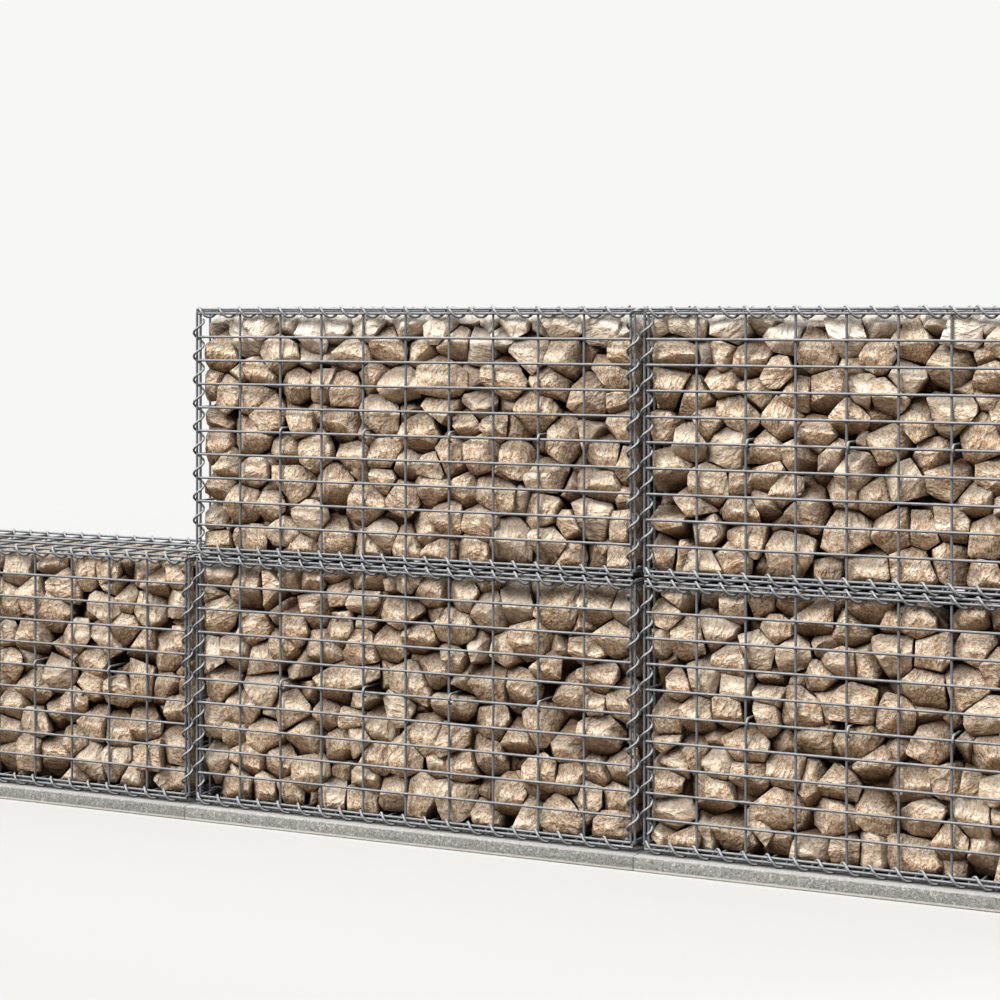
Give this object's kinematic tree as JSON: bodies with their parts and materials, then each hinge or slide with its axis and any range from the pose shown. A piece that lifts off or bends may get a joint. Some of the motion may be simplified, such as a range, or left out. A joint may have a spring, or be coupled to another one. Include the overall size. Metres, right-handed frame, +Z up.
{
  "type": "gabion wall",
  "caption": "Gabion retaining wall of welded wire baskets laced with spiral binders and filled with broken stone, stacked in stepped tiers on a low concrete kerb.",
  "frame": {"origin": "on the ground, at the middle of the kerb's underside", "axes": "+X along the wall to the right as seen from the front, +Y to the back, +Z up; the front faces -Y"},
  "size_m": [3.114, 0.364, 1.094],
  "materials": {
    "mesh_wire": "galvanised",
    "binder_wire": "galvanised",
    "stone": "rough broken faces",
    "kerb_concrete": "exposed aggregate"
  },
  "bodies": {
    "root": {"kerb_left": "kerb_concrete", "kerb_middle": "kerb_concrete", "kerb_right": "kerb_concrete", "lower_left_front_mesh": "mesh_wire", "lower_left_back_mesh": "mesh_wire", "lower_left_end_meshes": "mesh_wire", "lower_left_base_mesh": "mesh_wire", "lower_left_lid_mesh": "mesh_wire", "lower_left_binders": "binder_wire", "lower_left_ties": "mesh_wire", "lower_left_stone_fill": "stone", "lower_middle_front_mesh": "mesh_wire", "lower_middle_back_mesh": "mesh_wire", "lower_middle_end_meshes": "mesh_wire", "lower_middle_base_mesh": "mesh_wire", "lower_middle_lid_mesh": "mesh_wire", "lower_middle_binders": "binder_wire", "lower_middle_ties": "mesh_wire", "lower_middle_stone_fill": "stone", "lower_right_front_mesh": "mesh_wire", "lower_right_back_mesh": "mesh_wire", "lower_right_end_meshes": "mesh_wire", "lower_right_base_mesh": "mesh_wire", "lower_right_lid_mesh": "mesh_wire", "lower_right_binders": "binder_wire", "lower_right_ties": "mesh_wire", "lower_right_stone_fill": "stone", "upper_middle_front_mesh": "mesh_wire", "upper_middle_back_mesh": "mesh_wire", "upper_middle_end_meshes": "mesh_wire", "upper_middle_base_mesh": "mesh_wire", "upper_middle_lid_mesh": "mesh_wire", "upper_middle_binders": "binder_wire", "upper_middle_ties": "mesh_wire", "upper_middle_stone_fill": "stone", "upper_right_front_mesh": "mesh_wire", "upper_right_back_mesh": "mesh_wire", "upper_right_end_meshes": "mesh_wire", "upper_right_base_mesh": "mesh_wire", "upper_right_lid_mesh": "mesh_wire", "upper_right_binders": "binder_wire", "upper_right_ties": "mesh_wire", "upper_right_stone_fill": "stone"}
  },
  "joints": []
}
